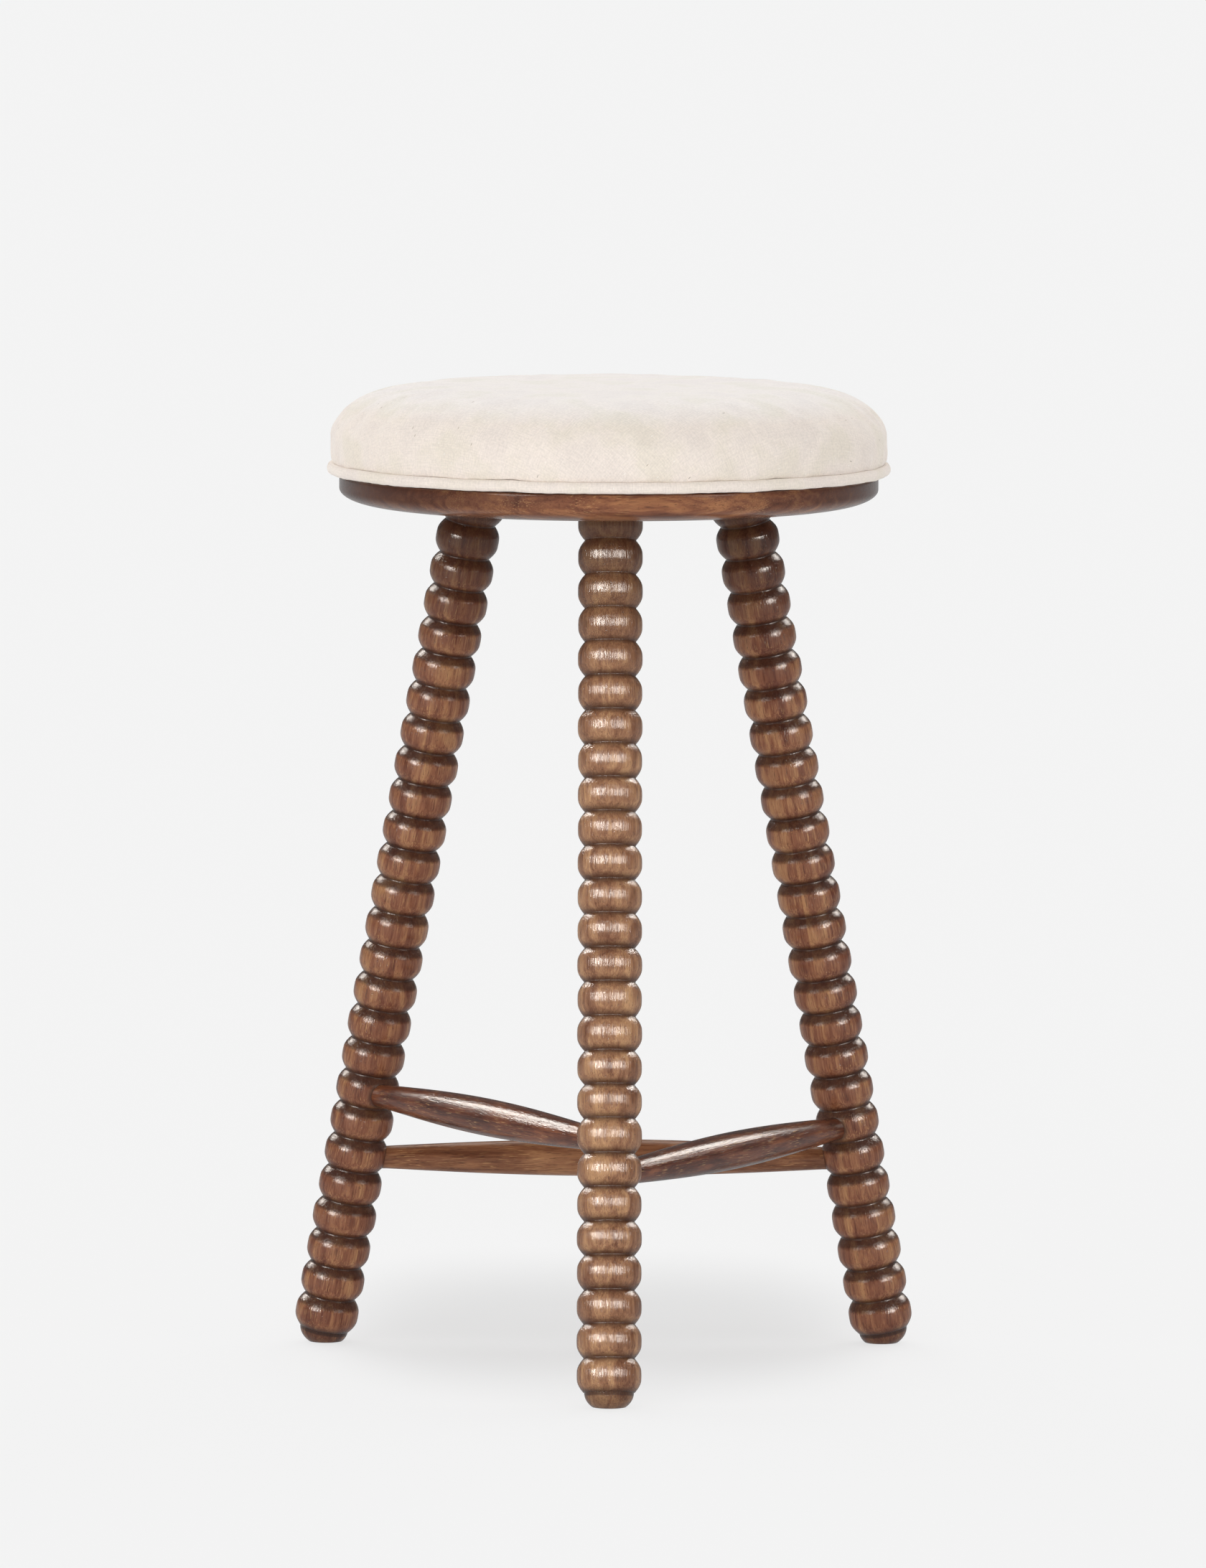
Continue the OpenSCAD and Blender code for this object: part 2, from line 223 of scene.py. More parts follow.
# Tones of the room and the floor, the oval of shade on it, in metres, and the lamps' sheen
BACKGROUND = "f3f3f3"
FLOOR_PAINT = "f8f8f8"
FLOOR_SIZE = 160
FLOOR_IN_SHEEN = 0.42
SHADE = "dcdcdc"
SHADE_Y = 0.24
SHADE_W = 0.21
SHADE_D = 0.42
SHADE_POWER = 4
SHEEN_TINT = "fff8f0"
ROOM_LIGHT = 0.1

# Camera, fitted to the photo's outline: its lens in millimetres, place in metres, turns in degrees
LENS = 337.7
SENSOR = 36
CAMERA_PLACE = (-3.1 * MM, -9825 * MM, 1313.1 * MM)
CAMERA_ROUND = -0.647
CAMERA_DROP = 5.357
CAMERA_ROLL = 0.229


# Small tools

def axis_ring_r(z):
    """Distance of a leg's axis from the seat's axis at a height."""
    return LEG_RING_R + (BASE_Z - z) * math.tan(SPLAY)


def leg_frame(angle):
    """A leg's own frame: its origin at the base's underside, +Z up the leg."""
    return (SEAT @ Matrix.Rotation(angle, 4, "Z") @ Matrix.Translation((LEG_RING_R, 0, BASE_Z))
            @ Matrix.Rotation(-SPLAY, 4, "Y"))


def foot_frame(angle):
    """A frame on the floor, at the middle of a leg's foot."""
    lean = math.tan(SPLAY)
    cut = FOOT_H - FLOOR_CUT_Z / math.cos(SPLAY)
    shift = -cut * lean / FOOT_ROUND ** 2 / (1 / FOOT_R ** 2 + (lean / FOOT_ROUND) ** 2)
    ring = axis_ring_r(FLOOR_CUT_Z) + shift / math.cos(SPLAY)
    return SEAT @ Matrix.Rotation(angle, 4, "Z") @ Matrix.Translation((ring, 0, 0))


def bead_middle(number):
    """The height of a bead in its leg's own frame; bead 1 is the highest."""
    return -COLLAR_H - (number - 0.5) * PITCH


def bay_layout(bay):
    """A stretcher's frame, +Z along it, and half its length between the bead crests."""
    angle, step = BAYS[bay]
    z = (BASE_Z + bead_middle(FIRST_STRETCHER_BEAD + step) * math.cos(SPLAY)
         - BEAD_R * math.sin(SPLAY) * math.cos(math.pi / 2 - HALF_BAY))
    place = (SEAT @ Matrix.Rotation(angle, 4, "Z")
             @ Matrix.Translation((axis_ring_r(z) * math.cos(HALF_BAY), 0, z))
             @ Matrix.Rotation(math.pi / 2, 4, "X"))
    return place, axis_ring_r(z) * math.sin(HALF_BAY) - BEAD_R


def quarter(steps):
    """The angles of a quarter turn, in even steps."""
    return [math.pi / 2 * i / steps for i in range(steps + 1)]


def between(value, start, end):
    """How far values have come from a start to an end, from 0 to 1."""
    return numpy.clip((value - start) / (end - start), 0, 1)


def spun(outline, steps, closed=False):
    """A turning about Z from an outline of (radius, height) points."""
    bm = bmesh.new()
    points = [bm.verts.new((r, 0, z)) for r, z in outline]
    pairs = list(zip(points, points[1:]))
    if closed:
        pairs.append((points[-1], points[0]))
    edges = [bm.edges.new(pair) for pair in pairs]
    bmesh.ops.spin(bm, geom=points + edges, axis=(0, 0, 1), cent=(0, 0, 0), angle=TURN,
                   steps=steps, use_merge=True, use_duplicate=False)
    bmesh.ops.remove_doubles(bm, verts=bm.verts, dist=1e-7)
    bmesh.ops.recalc_face_normals(bm, faces=bm.faces)
    return bm


def rod(place, radius, low, high, sides=HOLE_STEPS):
    """A plain round cutter along a frame's Z."""
    bm = bmesh.new()
    bmesh.ops.create_cone(bm, cap_ends=True, segments=sides, radius1=radius, radius2=radius,
                          depth=high - low)
    bm.transform(place @ Matrix.Translation((0, 0, (low + high) / 2)))
    return bm


def object_from(bm, name):
    """An object made from a finished bmesh."""
    mesh = bpy.data.meshes.new(name)
    bm.to_mesh(mesh)
    bm.free()
    made = bpy.data.objects.new(name, mesh)
    bpy.context.scene.collection.objects.link(made)
    return made


def settle(piece):
    """Applies a piece's modifiers to its mesh."""
    graph = bpy.context.evaluated_depsgraph_get()
    mesh = bpy.data.meshes.new_from_object(piece.evaluated_get(graph))
    mesh.name = piece.name
    piece.modifiers.clear()
    piece.data = mesh


def cut_away(piece, cutters):
    """Cuts each closed shape in the list out of a piece."""
    tools = [object_from(bm, piece.name + "_cutter") for bm in cutters]
    for tool in tools:
        cut = piece.modifiers.new("cut", "BOOLEAN")
        cut.operation = "DIFFERENCE"
        cut.solver = "MANIFOLD"
        cut.object = tool
    settle(piece)
    for tool in tools:
        bpy.data.objects.remove(tool)


def coordinates(piece):
    """A mesh's points as rows of x, y, z."""
    flat = numpy.empty(3 * len(piece.data.vertices))
    piece.data.vertices.foreach_get("co", flat)
    return flat.reshape(-1, 3)


def keep_grain(piece, place, offset, stained=None):
    """Stores each point's place in the blank that the piece was cut from, for the wood's figure,
    and from 0 to 1 how much darker it is, from stain and painted shade."""
    inverse = place.inverted()
    turn = numpy.array(inverse.to_3x3())
    local = coordinates(piece) @ turn.T + numpy.array(inverse.translation)
    facing = numpy.empty(local.size)
    piece.data.vertex_normals.foreach_get("vector", facing)
    facing = facing.reshape(-1, 3) @ turn.T
    # This attribute holds painted shade as well as stain
    stain = piece.data.attributes.new("stain", "FLOAT", "POINT")
    if stained:
        stain.data.foreach_set("value", numpy.clip(stained(local, facing), 0, 1))
    grain = piece.data.attributes.new("grain", "FLOAT_VECTOR", "POINT")
    grain.data.foreach_set("vector", (local + (0, 0, offset)).ravel())


def leg_stain_and_painted_shade(local, facing):
    """A leg is darker in its grooves from stain and painted shade, near its top from a painted
    shadow of the seat, and a little on its foot.
    """
    out = numpy.hypot(local[:, 0], local[:, 1])
    # Painted shade with the stain in the grooves, and a painted shadow of the seat near the top
    depth = between(out, BEAD_R - GROOVE_STAIN_AND_SHADE_BELOW, GROOVE_R)
    top_painted_shadow = TOP_PAINTED_SHADOW * between(local[:, 2], bead_middle(LAST_DARK_BEAD), -COLLAR_H)
    foot = local[:, 2] < bead_middle(FOOT_FROM_BEAD)
    return numpy.where(foot, FOOT_DARKENING, numpy.maximum(depth, top_painted_shadow))


def rear_leg_stain_and_painted_shade(local, facing):
    """On the rear legs it also paints shade on the upper side of each bead."""
    # Painted shade where a face looks up
    upper = UPPER_SIDE_PAINTED_SHADE * between(facing[:, 2], *UPPER_FACES_SHADED)
    return numpy.maximum(leg_stain_and_painted_shade(local, facing), upper)


def round_joints(stained, sockets):
    """Adds the stain that gathers round the stretchers where they enter a leg. Each socket is its
    stretcher's frame and half length."""
    def stained_more(local, facing):
        taken = stained(local, facing)
        for socket, half in sockets:
            inverse = socket.inverted()
            there = local @ numpy.array(inverse.to_3x3()).T + numpy.array(inverse.translation)
            past = numpy.hypot(there[:, 0], there[:, 1]) - SPINDLE_END_R
            mouth = numpy.abs(numpy.abs(there[:, 2]) - half) < BEAD_R
            near = numpy.where(mouth, JOINT_STAIN - past / JOINT_STAIN_W, 0)
            taken = numpy.maximum(taken, near)
        return taken
    return stained_more


def board_stain_and_painted_shadow(local, facing):
    """The ends of the fibres drink more stain than their sides do, and shadow is painted under the
    welt. The flat underside takes neither."""
    height = -local[:, 0]
    end_grain = between(numpy.abs(facing[:, 2]), *END_GRAIN)
    # Painted shadow under the welt
    welt_painted_shadow = WELT_PAINTED_SHADOW * between(height, BASE_T - WELT_SHADOW_LOW, BASE_T - WELT_SHADOW_HIGH)
    return numpy.where(height < BARE_H, 0, numpy.maximum(end_grain, welt_painted_shadow))


def finish_piece(piece, material, nodes):
    """Gives a piece its shading and finish, hangs it from the root body, and hides the frame's
    nodes that it stands for.
    """
    piece.data.shade_smooth()
    piece.data.set_sharp_from_angle(angle=CREASE_ANGLE)
    piece.data.materials.clear()
    piece.data.materials.append(material)
    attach(piece, "root")
    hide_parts(*nodes)


def slice_flat(bm, z, keep_below):
    """Cuts a mesh at a height, closes the cut and returns its face."""
    everything = bm.verts[:] + bm.edges[:] + bm.faces[:]
    cut = bmesh.ops.bisect_plane(bm, geom=everything, dist=1e-8, plane_co=(0, 0, z),
                                 plane_no=(0, 0, 1), clear_outer=keep_below,
                                 clear_inner=not keep_below)
    rim = [part for part in cut["geom_cut"] if isinstance(part, bmesh.types.BMEdge)]
    return bmesh.ops.holes_fill(bm, edges=rim, sides=0)["faces"]


def pull(bm, faces, shift):
    """Pulls flat faces of a solid out by a vector."""
    rims = list({edge for face in faces for edge in face.edges})
    grown = bmesh.ops.extrude_face_region(bm, geom=list(faces) + rims)
    moved = [part for part in grown["geom"] if isinstance(part, bmesh.types.BMVert)]
    bmesh.ops.translate(bm, verts=moved, vec=shift)
    bmesh.ops.recalc_face_normals(bm, faces=bm.faces)


# Materials

def linear(colour):
    """An sRGB hex colour as linear RGBA."""
    parts = [int(colour[i:i + 2], 16) / 255 for i in (0, 2, 4)]
    return [p / 12.92 if p <= 0.04045 else ((p + 0.055) / 1.055) ** 2.4 for p in parts] + [1]


def add(tree, kind, inputs=None, stops=None, **settings):
    """A node with its settings, its inputs set to values or linked to other nodes' outputs."""
    made = tree.nodes.new("ShaderNode" + kind)
    for name, value in settings.items():
        setattr(made, name, value)
    if stops:
        ramp = made.color_ramp.elements
        while len(ramp) < len(stops):
            ramp.new(1)
        for element, (position, colour) in zip(ramp, stops):
            element.position = position
            element.color = linear(colour)
    for name, value in (inputs or {}).items():
        if isinstance(value, bpy.types.NodeSocket):
            tree.links.new(value, made.inputs[name])
        else:
            made.inputs[name].default_value = value
    return made


def new_material(name, **values):
    """A material with its shader's own sockets set; returns it with its tree and shader."""
    material = bpy.data.materials.new(name)
    material.use_nodes = True
    tree = material.node_tree
    shader = tree.nodes["Principled BSDF"]
    for socket, value in values.items():
        shader.inputs[socket.replace("_", " ")].default_value = value
    return material, tree, shader


def lacquered_wood(name, dark, middle, light, streak, pit, gloss=0.42, relief=0.22,
                   stained="35190c", lacquer=0.11, ridges=0.5):
    """Mango stained walnut brown and sprayed with satin lacquer. The stain takes unevenly along
    the fibres, so the eye sees golden and dark streaks, open pores that break up the sheen, and
    small pits. Streaks and pits are given as their width and length in millimetres, gloss and
    lacquer as the roughness of the wood and of the film on it, and the open grain as its relief
    in millimetres and how strongly its ridges show."""
    material, tree, shader = new_material(name, Specular_IOR_Level=0.1, Coat_Weight=1,
                                          Coat_Roughness=lacquer, Coat_IOR=1.48, Roughness=gloss)
    grain = add(tree, "Attribute", attribute_name="grain").outputs["Vector"]

    def pattern(across, along, detail, warp=0.0):
        """Streaks of a width and length, in millimetres, along the grain."""
        scale = (1 / (across * MM), 1 / (across * MM), 1 / (along * MM))
        place = add(tree, "Mapping", {"Vector": grain, "Scale": scale}).outputs[0]
        return add(tree, "TexNoise", {"Vector": place, "Scale": 1, "Detail": detail,
                                      "Roughness": 0.6, "Distortion": warp}).outputs["Fac"]

    fibre = pattern(*streak, 3, 0.3)
    figure = pattern(12, 70, 3, 1.2)
    patch = pattern(14, 22, 2)
    pores = pattern(0.6, 10, 1)
    pits = pattern(*pit, 1)
    mixed = add(tree, "Mix", {0: 0.68, 2: fibre, 3: figure}, data_type="FLOAT").outputs[0]
    colour = add(tree, "ValToRGB", {"Fac": mixed},
                 stops=[(0.36, dark), (0.5, middle), (0.64, light)]).outputs[0]

    # Golden fibres come in patches; pores, pits, gathered stain and painted shade are dark all
    # over
    here = add(tree, "MapRange", {"Value": patch, "From Min": 0.42, "From Max": 0.62}).outputs[0]
    golden = add(tree, "MapRange", {"Value": pores, "From Min": 0.6, "From Max": 0.68,
                                    "To Max": 0.5}).outputs[0]
    golden = add(tree, "Math", {0: golden, 1: here}, operation="MULTIPLY").outputs[0]
    hollow = add(tree, "MapRange", {"Value": pores, "From Min": 0.38, "From Max": 0.31,
                                    "To Max": 0.5}).outputs[0]
    pitted = add(tree, "MapRange", {"Value": pits, "From Min": 0.33, "From Max": 0.27,
                                    "To Max": 0.5}).outputs[0]
    # Gathered stain, and painted shade in the grooves, under the seat, on upward faces and under
    # the welt
    gathered_stain_and_shade = add(tree, "Attribute", attribute_name="stain").outputs["Fac"]
    gathered_stain_and_shade = add(tree, "MapRange", {"Value": gathered_stain_and_shade, "To Max": 0.88},
                   interpolation_type="SMOOTHSTEP").outputs[0]
    for mask, tint in ((golden, "c99c66"), (hollow, "382019"), (pitted, "3c261c"),
                       (gathered_stain_and_shade, stained)):
        colour = add(tree, "Mix", {0: mask, 6: colour, 7: linear(tint)},
                     data_type="RGBA").outputs[2]
    tree.links.new(colour, shader.inputs["Base Color"])

    rough = add(tree, "MapRange", {"Value": fibre, "From Min": 0.3, "From Max": 0.7,
                                   "To Min": gloss - 0.06, "To Max": gloss + 0.12}).outputs[0]
    tree.links.new(rough, shader.inputs["Roughness"])
    height = add(tree, "Math", {0: fibre, 1: pores}, operation="ADD").outputs[0]
    sunk = add(tree, "MapRange", {"Value": pits, "From Min": 0.36, "From Max": 0.28,
                                  "To Max": -0.5}).outputs[0]
    height = add(tree, "Math", {0: height, 1: sunk}, operation="ADD").outputs[0]
    bump = add(tree, "Bump", {"Height": height, "Strength": ridges, "Distance": relief * MM})
    tree.links.new(bump.outputs[0], shader.inputs["Normal"])
    tree.links.new(bump.outputs[0], shader.inputs["Coat Normal"])
    return material


def linen(name):
    """Off-white plain-weave linen: dull, finely threaded, with slubs where a thread thickens
    and a few hairs of stalk, dark and pale. Where it faces up it is painted whiter and cooler,
    as light from above would make it. UV is in metres of cloth."""
    material, tree, shader = new_material(name, Roughness=0.9, Specular_IOR_Level=0.2,
                                          Sheen_Weight=0.3, Sheen_Roughness=0.4)
    cloth = add(tree, "TexCoord").outputs["UV"]

    def pattern(across, along, detail):
        """Mottling of a width and length, in millimetres, across the cloth's two threads."""
        scale = (1 / (across * MM), 1 / (along * MM), 1)
        place = add(tree, "Mapping", {"Vector": cloth, "Scale": scale}).outputs[0]
        return add(tree, "TexNoise", {"Vector": place, "Scale": 1, "Detail": detail},
                   noise_dimensions="2D").outputs["Fac"]

    # Linen has about 15 threads to the centimetre; they are drawn coarser so that they show
    threads = [add(tree, "TexWave", {"Vector": cloth, "Scale": 1 / (THREAD_GAP * TURN),
                                     "Detail": 1, "Distortion": 1.5, "Detail Scale": 0.15},
                   wave_type="BANDS", bands_direction=way).outputs["Fac"] for way in "XY"]
    weave = add(tree, "Math", {0: threads[0], 1: threads[1]}, operation="ADD").outputs[0]
    slub = add(tree, "Math", {0: pattern(0.8, 13, 2), 1: pattern(13, 0.8, 2)},
               operation="ADD").outputs[0]
    colour = add(tree, "ValToRGB", {"Fac": pattern(38, 38, 3)},
                 stops=[(0.35, "eadfd6"), (0.5, "eee3d9"), (0.65, "e9dfd2")]).outputs[0]

    # Slubs, speckles and weave: the pattern, its range and how dull and bright it makes the cloth
    for value, low, high, dull, bright in ((slub, 0.8, 1.2, 0.967, 1.027),
                                           (pattern(1.7, 1.7, 3), 0.35, 0.65, 0.955, 1.035),
                                           (weave, 0, 2, 0.975, 1.015)):
        shade = add(tree, "MapRange", {"Value": value, "From Min": low, "From Max": high,
                                       "To Min": dull, "To Max": bright}).outputs[0]
        colour = add(tree, "VectorMath", {0: colour, "Scale": shade}, operation="SCALE").outputs[0]

    # Hairs of stalk: their turn in degrees, spacing in millimetres, rarity and tint
    for turn, spacing, share, tint in ((35, 3.9, 0.93, "8d7d6b"), (-50, 3, 0.85, "fbf8f2"),
                                       (100, 4.2, 0.9, "a89883"), (-15, 4.6, 0.94, "8f7f6d")):
        place = add(tree, "Mapping", {"Vector": cloth, "Rotation": (0, 0, math.radians(turn)),
                                      "Scale": (1 / (spacing * MM), 1 / (4 * spacing * MM), 1)})
        cell = add(tree, "TexVoronoi", {"Vector": place.outputs[0], "Scale": 1},
                   voronoi_dimensions="2D").outputs
        hair = add(tree, "MapRange", {"Value": cell["Distance"], "From Min": 0.09,
                                      "From Max": 0.04, "To Max": 0.75}).outputs[0]
        chosen = add(tree, "Math", {0: cell["Color"], 1: share},
                     operation="GREATER_THAN").outputs[0]
        mask = add(tree, "Math", {0: hair, 1: chosen}, operation="MULTIPLY").outputs[0]
        colour = add(tree, "Mix", {0: mask, 6: colour, 7: linear(tint)},
                     data_type="RGBA").outputs[2]

    # Painted light: faces that look up are made whiter and cooler
    crown = add(tree, "Attribute", attribute_name="crown").outputs["Fac"]
    colour = add(tree, "Mix", {0: crown, 6: colour, 7: (1, 1.04, 1.09, 1)}, data_type="RGBA",
                 blend_type="MULTIPLY").outputs[2]
    tree.links.new(colour, shader.inputs["Base Color"])
    height = add(tree, "Math", {0: slub, 1: weave}, operation="ADD").outputs[0]
    bump = add(tree, "Bump", {"Height": height, "Strength": 0.3, "Distance": 0.15 * MM}).outputs[0]
    tree.links.new(bump, shader.inputs["Normal"])
    return material


def speckled(name, dark, light, size, relief, stretch=(1, 1, 1), **values):
    """A material whose tone and relief vary over a size, both in millimetres, and more closely
    along the axes that are stretched."""
    material, tree, shader = new_material(name, **values)
    place = add(tree, "TexCoord").outputs["Object"]
    place = add(tree, "Mapping", {"Vector": place, "Scale": [s / (size * MM) for s in stretch]})
    spots = add(tree, "TexNoise", {"Vector": place.outputs[0], "Scale": 1, "Detail": 3}).outputs[0]
    colour = add(tree, "ValToRGB", {"Fac": spots}, stops=[(0.35, dark), (0.65, light)]).outputs[0]
    tree.links.new(colour, shader.inputs["Base Color"])
    bump = add(tree, "Bump", {"Height": spots, "Strength": 0.4, "Distance": relief * MM})
    tree.links.new(bump.outputs[0], shader.inputs["Normal"])
    return material


# One finish in five mixes, as each piece of mango took the stain; the rear legs' mix is darker
# also as painted shade
leg_wood = lacquered_wood("stained_mango_turned", "744831", "9c6f50", "c09369", (1.3, 40),
                          (0.9, 1.4), relief=0.35, stained="42220f", ridges=0.65)
rear_leg_wood_with_painted_shade = lacquered_wood("stained_mango_turned_painted_shade", "633423", "86543b", "a97a53",
                               (1.3, 40), (0.9, 1.4), stained="2c140b", lacquer=0.08, ridges=0.65)
spindle_wood = lacquered_wood("stained_mango_spindle", "431f13", "633422", "874f31", (1.3, 45),
                              (1.1, 8), gloss=0.36)
rear_spindle_wood = lacquered_wood("stained_mango_spindle_pale", "643b25", "84563a", "9c6d4a",
                                   (1.3, 45), (1.1, 8), gloss=0.36)
base_wood = lacquered_wood("stained_mango_board", "593222", "7d4c34", "a06b46", (2.4, 26),
                           (0.9, 1.6), relief=0.08, stained="432010")
linen_cloth = linen("off_white_linen")

# Sawn and left bare: dull and rough, in stripes along the grain
bare_wood = speckled("sawn_hardwood", "9c7448", "c39a68", 1.2, 0.1, (1, 1, 0.08), Roughness=0.7)
# Peeled, glued and sanded: pale, dull, and finely striped by its plies
plywood = speckled("sanded_birch_ply", "c2a273", "dcc298", 3, 0.05, (0.1, 1, 6), Roughness=0.65)
# Moulded: near black, with a soft even shine
nylon = speckled("moulded_nylon", "1d1a17", "2a2622", 0.8, 0.03, Roughness=0.45)
# Drawn or stamped, then plated: bright grey metal, faintly clouded
steel = speckled("zinc_plated_steel", "9a9ca0", "c3c5c8", 0.6, 0.01, Metallic=1, Roughness=0.32)
# Foamed and cut: straw yellow, with open pores and no shine
foam = speckled("polyurethane_foam", "d8c995", "efe3b6", 1.4, 0.5, Roughness=0.95)
# Carded: soft white tufts without shine
wadding = speckled("polyester_wadding", "e4e3de", "f7f6f2", 2.5, 0.8, Roughness=0.95)
# Spun and twisted: dull cream strands
cotton = speckled("twisted_cotton_cord", "cfc3ab", "e8dfca", 1.1, 0.4, (1, 1, 2), Roughness=0.9)


# Legs

def leg_outline(rng):
    """Collar, beads and foot, each bead and groove a little off its size as a turner leaves it."""
    groove_z = [-COLLAR_H - k * PITCH + rng.uniform(-1, 1) * BEAD_SHIFT for k in range(BEADS + 1)]
    groove_z[-1] = -COLLAR_H - BEADS * PITCH
    groove_r = [GROOVE_R + rng.uniform(-1, 1) * GROOVE_WANDER for _ in range(BEADS + 1)]
    crest_r = [BEAD_R - rng.random() * BEAD_WANDER for _ in range(BEADS)]
    crest_r[-1] = BEAD_R - LAST_BEAD_LESS
    outline = [(0, COLLAR_H), (BEAD_R, COLLAR_H)]

    def flank(crest, groove, middle, reach, share):
        """A point from the crest, at share -1, over its edge, at 0, to the groove, at 1."""
        edge = crest - CREST_FALL
        r = edge - (edge - groove) * max(share, 0) ** BEAD_POWER
        if share < 0:
            r = crest - CREST_FALL * (1 + share) ** 2
        width = 1 - CREST_SHARE if share > 0 else CREST_SHARE
        outline.append((r, middle + reach * (CREST_SHARE + width * share)))

    shares = [CREST_POINT] + [i / BEAD_STEPS for i in range(BEAD_STEPS)] + [GROOVE_POINT]
    for share in shares:
        flank(BEAD_R, groove_r[0], groove_z[0] + PITCH / 2, -PITCH / 2, share)
    for n, crest in enumerate(crest_r):
        middle = (groove_z[n] + groove_z[n + 1]) / 2
        reach = (groove_z[n] - groove_z[n + 1]) / 2
        for share in reversed(shares):
            flank(crest, groove_r[n], middle, reach, share)
        outline.append((crest, middle))
        for share in shares:
            flank(crest, groove_r[n + 1], middle, -reach, share)
    for a in quarter(FOOT_STEPS):
        outline.append((FOOT_R * max(math.cos(a), 0), groove_z[-1] - FOOT_ROUND * math.sin(a)))
    return outline


def wedge_kerf(place):
    """The tapered sawcut across a tenon's top."""
    top = BASE_T / math.cos(SPLAY)
    bm = bmesh.new()
    bmesh.ops.create_cube(bm, size=1)
    for point in bm.verts:
        upper = point.co.z > 0
        thick = (WEDGE_TOP_T if upper else WEDGE_TIP_T) + 2 * GLUE_GAP
        height = top if upper else top - WEDGE_KERF_L
        point.co = (point.co.x * thick, point.co.y * 2 * (TENON_R + END_GAP), height)
    bm.normal_update()
    pull(bm, [face for face in bm.faces if face.normal.z > 0.5], (0, 0, OVER))
    bm.transform(place)
    return bm


def turned_leg(key, offset):
    """A leg: turned, cut to the floor, its top turned down to a tenon, and its joints cut."""
    angle, bays = LEGS[key]
    place = leg_frame(angle)
    bm = spun(leg_outline(random.Random(key)), LEG_STEPS)
    bm.transform(place)
    slice_flat(bm, FLOOR_CUT_Z, keep_below=False)
    shoulder = slice_flat(bm, BASE_Z, keep_below=True)
    bmesh.ops.inset_region(bm, faces=shoulder, thickness=BEAD_R - TENON_R, use_even_offset=True)
    pull(bm, shoulder, place.to_3x3() @ Vector((0, 0, BASE_T / math.cos(SPLAY))))
    leg = object_from(bm, "turned_leg_" + key)
    cutters = [wedge_kerf(place)]
    sockets = []
    for socket, half in map(bay_layout, bays):
        reach = half + SPINDLE_TENON_L + END_GAP
        cutters.append(rod(socket, SPINDLE_END_R + GLUE_GAP, -reach, reach))
        sockets.append((place.inverted() @ socket, half))
    foot = foot_frame(angle)
    cutters.append(rod(foot, GLIDE_R + GLUE_GAP, -OVER, GLIDE_T))
    cutters.append(rod(foot, NAIL_R + GLUE_GAP, 0, NAIL_HOLE_L, NAIL_HOLE_STEPS))
    cut_away(leg, cutters)
    wood, stained = (leg_wood, leg_stain_and_painted_shade) if key == "front" else (rear_leg_wood_with_painted_shade, rear_leg_stain_and_painted_shade)
    keep_grain(leg, place, offset, round_joints(stained, sockets))
    finish_piece(leg, wood, ["leg_" + key])


def spindle(bay, offset):
    """A stretcher, thickest at its middle, with round ends that go into the legs."""
    place, half = bay_layout(bay)
    end = half + SPINDLE_TENON_L
    outline = [(0, -end), (SPINDLE_END_R, -end)]
    for i in range(SPINDLE_RINGS + 1):
        share = i / SPINDLE_RINGS
        swell = (SPINDLE_MID_R - SPINDLE_END_R) * math.sin(math.pi * share)
        outline.append((SPINDLE_END_R + swell, half * (2 * share - 1)))
    outline += [(SPINDLE_END_R, end), (0, end)]
    bm = spun(outline, SPINDLE_STEPS)
    bm.transform(place)
    piece = object_from(bm, "spindle_" + bay)
    keep_grain(piece, place, offset)
    wood = rear_spindle_wood if bay == "rear" else spindle_wood
    finish_piece(piece, wood, ["stretcher_" + bay])


def wooden_base():
    """The round base, with its big lower rounding, through mortises and screw recesses."""
    outline = [(0, BASE_Z)]
    for a in quarter(EDGE_STEPS):
        outline.append((BASE_R - BASE_EDGE_W * (1 - math.sin(a)),
                        BASE_Z + BASE_EDGE_H * (1 - math.cos(a))))
    for a in quarter(EASE_STEPS):
        outline.append((BASE_R - TOP_EASE * (1 - math.cos(a)),
                        BASE_TOP - TOP_EASE * (1 - math.sin(a))))
    outline.append((0, BASE_TOP))
    bm = spun(outline, BASE_STEPS)
    bm.transform(SEAT)
    base = object_from(bm, "wooden_base")
    cutters = [rod(leg_frame(angle), TENON_R + GLUE_GAP, -OVER, 2 * BASE_T)
               for angle, _ in LEGS.values()]
    for angle, _ in BAYS.values():
        place = (SEAT @ Matrix.Rotation(angle, 4, "Z")
                 @ Matrix.Translation((SCREW_RING_R, 0, BASE_Z)))
        cutters.append(rod(place, SCREW_HOLE_R, 0, BASE_T + OVER, SCREW_HOLE_STEPS))
        cutters.append(rod(place, RECESS_R, -OVER, RECESS_T))
    cut_away(base, cutters)
    board = SEAT @ Matrix.Rotation(BOARD_TURN, 4, "Z") @ Matrix.Translation((0, 0, BASE_Z))
    keep_grain(base, board @ Matrix.Rotation(math.pi / 2, 4, "Y"), 0, board_stain_and_painted_shadow)
    finish_piece(base, base_wood, ["seat_base"])


for number, key in enumerate(LEGS, 1):
    turned_leg(key, LEG_APART * number)
for number, bay in enumerate(BAYS, 1):
    spindle(bay, SPINDLE_APART * number + SPINDLES_FROM)
wooden_base()


# Linen

